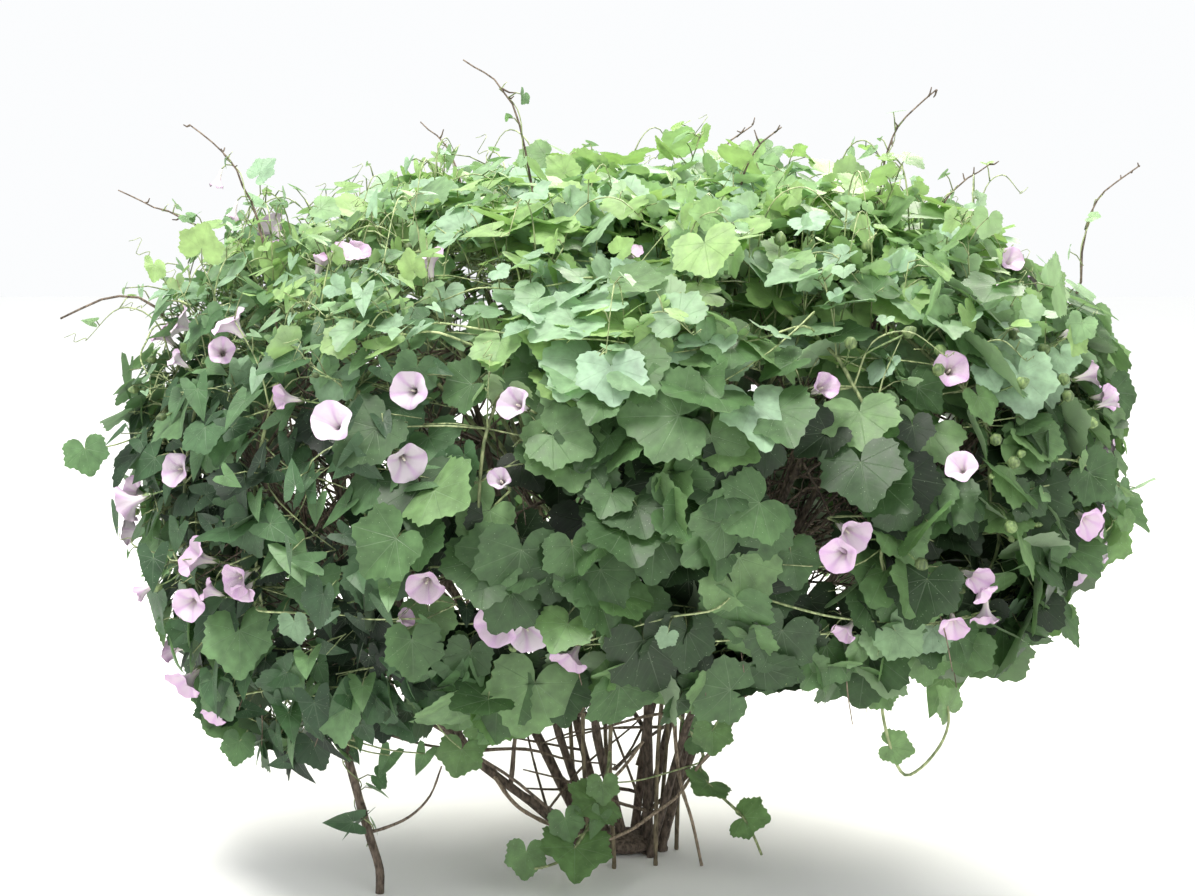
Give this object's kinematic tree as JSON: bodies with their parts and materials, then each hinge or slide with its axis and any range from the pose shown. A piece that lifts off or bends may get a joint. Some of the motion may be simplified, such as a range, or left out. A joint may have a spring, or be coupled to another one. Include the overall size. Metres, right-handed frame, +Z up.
{
  "type": "morning glory vine",
  "caption": "Leafy morning glory climbers with funnel flowers over a many-stemmed woody shrub, cut flat at the base.",
  "frame": {"origin": "on the ground, at the centre of the cut end of the shrub's middle stem", "axes": "+Z up; +X the viewer's right, along the plant's widest side; the pictured front faces -Y"},
  "size_m": [1.2935, 0.8813, 0.9669],
  "materials": {
    "bark": "rough",
    "lobed_leaf": "satin",
    "arrow_leaf": "satin",
    "petal": "matte"
  },
  "bodies": {
    "root": {"shrub": "bark", "vine_01": "lobed_leaf", "vine_02": "lobed_leaf", "vine_03": "lobed_leaf", "vine_04": "lobed_leaf", "vine_05": "arrow_leaf", "vine_06": "arrow_leaf", "vine_07": "arrow_leaf", "bloom_01": "petal", "bloom_02": "petal", "bloom_03": "petal", "bloom_04": "petal", "bloom_05": "petal", "bloom_06": "petal", "bloom_07": "petal", "bloom_08": "petal", "bloom_09": "petal", "bloom_10": "petal", "bloom_11": "petal", "bloom_12": "petal", "bloom_13": "petal", "bloom_14": "petal", "bloom_15": "petal", "bloom_16": "petal", "bloom_17": "petal", "bloom_18": "petal", "bloom_19": "petal", "bloom_20": "petal", "bloom_21": "petal", "bloom_22": "petal", "bloom_23": "petal", "bloom_24": "petal", "bloom_25": "petal", "bloom_26": "petal", "bloom_27": "petal", "bloom_28": "petal", "bloom_29": "petal", "bloom_30": "petal"}
  },
  "joints": []
}
